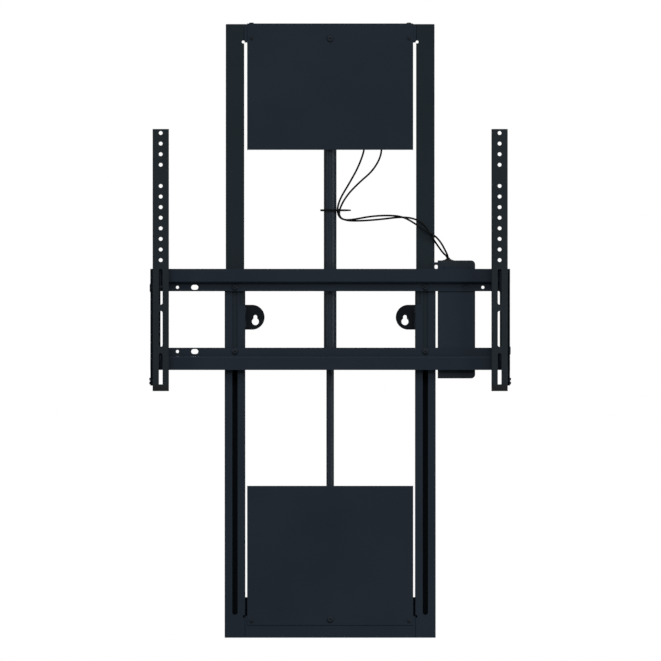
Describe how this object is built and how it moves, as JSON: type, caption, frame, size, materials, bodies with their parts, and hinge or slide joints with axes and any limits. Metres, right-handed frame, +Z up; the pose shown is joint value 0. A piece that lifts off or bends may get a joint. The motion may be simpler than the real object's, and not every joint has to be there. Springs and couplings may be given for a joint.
{
  "type": "motorized tv wall mount",
  "caption": "Telescopic wall frame with an electric spindle lift, crossbars and sliding, tilting hook-on arms that raise and lower a television.",
  "frame": {"origin": "centre of the four wall bolt holes of the lower wall plate, on the wall", "axes": "+Z up, +X to the right of someone facing the mount, -Y out into the room"},
  "size_m": [0.8544, 0.1271, 1.4542],
  "materials": {
    "frame_paint": "fine matt powder coat, blue black",
    "tube_paint": "satin black paint",
    "black_zinc": "black zinc",
    "black_plastic": "moulded black plastic",
    "black_rubber": "black rubber",
    "bare_steel": "ground steel",
    "bronze": "turned bronze",
    "board_laminate": "lacquered circuit board",
    "supply_case": "potted block",
    "cable_jacket": "black cable jacket",
    "zinc_steel": "zinc plated"
  },
  "bodies": {
    "wall_frame": {"outer_rail_left": "frame_paint", "outer_rail_right": "frame_paint", "lower_front_plate": "frame_paint", "lower_wall_plate": "frame_paint", "keyhole_bracket_left": "frame_paint", "keyhole_bracket_right": "frame_paint", "lower_cover": "frame_paint", "lower_cover_screws": "black_zinc", "rod_anchor_bolt": "black_zinc", "rod_anchor_bracket": "frame_paint", "rod_anchor_pin": "zinc_steel", "actuator_rod": "tube_paint", "rod_nut": "bronze"},
    "lead_screw": {"lead_screw": "bare_steel", "shaft_coupling": "bare_steel", "gearbox_shaft": "bare_steel"},
    "hook_left": {"hook_channel_left": "frame_paint", "tilt_bolts_left": "black_zinc", "safety_screw_left": "black_zinc"},
    "arm_left": {"tv_arm_left": "frame_paint", "arm_end_cap_left": "black_plastic"},
    "hook_right": {"hook_channel_right": "frame_paint", "tilt_bolts_right": "black_zinc", "safety_screw_right": "black_zinc"},
    "arm_right": {"tv_arm_right": "frame_paint", "arm_end_cap_right": "black_plastic"},
    "lift": {"actuator_tube": "tube_paint", "bearing_housing": "tube_paint", "cable_gland": "black_rubber", "cable_tie": "black_plastic", "circuit_board": "board_laminate", "control_box_lid": "black_plastic", "control_box_plate": "frame_paint", "control_box_screws": "black_zinc", "control_box_shell": "black_plastic", "crossbar_bolts": "black_zinc", "crossbar_nuts": "zinc_steel", "crossbar_spacers": "zinc_steel", "gearbox": "tube_paint", "glide_shoe_left": "black_plastic", "glide_shoe_right": "black_plastic", "hanger_bolt": "black_zinc", "hanger_pin": "zinc_steel", "inner_rail_left": "frame_paint", "inner_rail_right": "frame_paint", "lift_motor": "tube_paint", "lower_crossbar": "frame_paint", "mains_inlet": "black_plastic", "motor_cable": "cable_jacket", "motor_hanger": "frame_paint", "motor_terminal": "black_plastic", "power_supply": "supply_case", "screw_bearing": "bare_steel", "sensor_cable": "cable_jacket", "top_cover": "frame_paint", "top_cover_screws": "black_zinc", "top_plate": "frame_paint", "tube_end_bush": "black_plastic", "upper_crossbar": "frame_paint"}
  },
  "joints": [
    {"name": "lift_slide", "type": "slide", "parent": "wall_frame", "child": "lift", "axis": [0, 0, 1], "range_m": [-0.6, 0]},
    {"name": "screw_turn", "type": "hinge", "parent": "lift", "child": "lead_screw", "pos_m": [0, -0.032, 1.2273], "axis": [0, 0, 1], "range_deg": [-18001, 1]},
    {"name": "hook_slide_left", "type": "slide", "parent": "lift", "child": "hook_left", "axis": [1, 0, 0], "range_m": [0, 0.3]},
    {"name": "arm_tilt_left", "type": "hinge", "parent": "hook_left", "child": "arm_left", "pos_m": [-0.418, -0.104, 0.6311], "axis": [1, 0, 0], "range_deg": [0, 6]},
    {"name": "hook_slide_right", "type": "slide", "parent": "lift", "child": "hook_right", "axis": [-1, 0, 0], "range_m": [0, 0.3]},
    {"name": "arm_tilt_right", "type": "hinge", "parent": "hook_right", "child": "arm_right", "pos_m": [0.418, -0.104, 0.6311], "axis": [1, 0, 0], "range_deg": [0, 6]}
  ],
  "couplings": [
    {"joint": "screw_turn", "follows": "lift_slide", "rad_per_m": 523.6}
  ]
}
